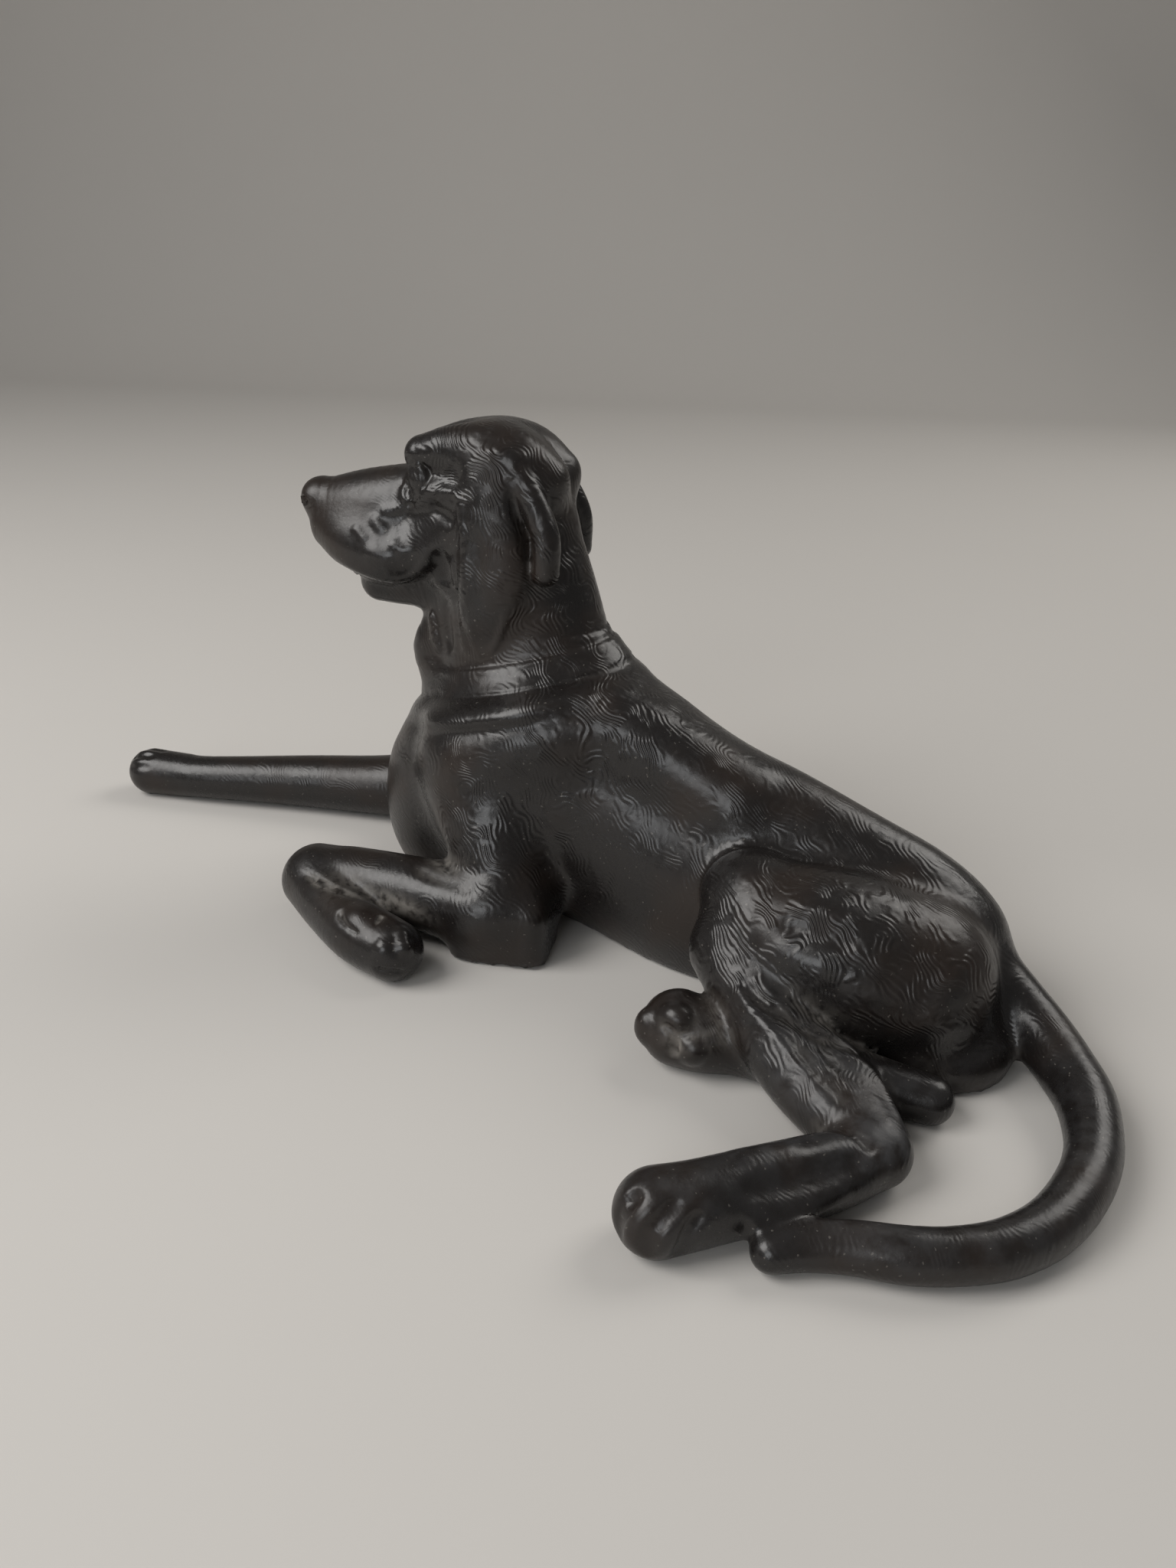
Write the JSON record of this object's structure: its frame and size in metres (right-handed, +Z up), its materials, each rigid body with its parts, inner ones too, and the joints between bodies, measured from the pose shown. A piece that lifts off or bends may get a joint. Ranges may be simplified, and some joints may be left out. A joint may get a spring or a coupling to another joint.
{
  "type": "cast iron dog statue",
  "caption": "Lying hound statue in black cast iron, head raised and turned, one foreleg stretched, one folded, tail curled round.",
  "frame": {"origin": "centre of the bounding box at the level the statue rests on", "axes": "+Z up, -X towards the nose, +X towards the rump, -Y towards the side on which both hind feet lie"},
  "size_m": [0.2998, 0.1482, 0.1245],
  "materials": {
    "iron": "black varnished cast iron, satin gloss, with worn greyish edges and pale dust in the creases"
  },
  "bodies": {
    "root": {"hound_casting": "iron"}
  },
  "joints": []
}
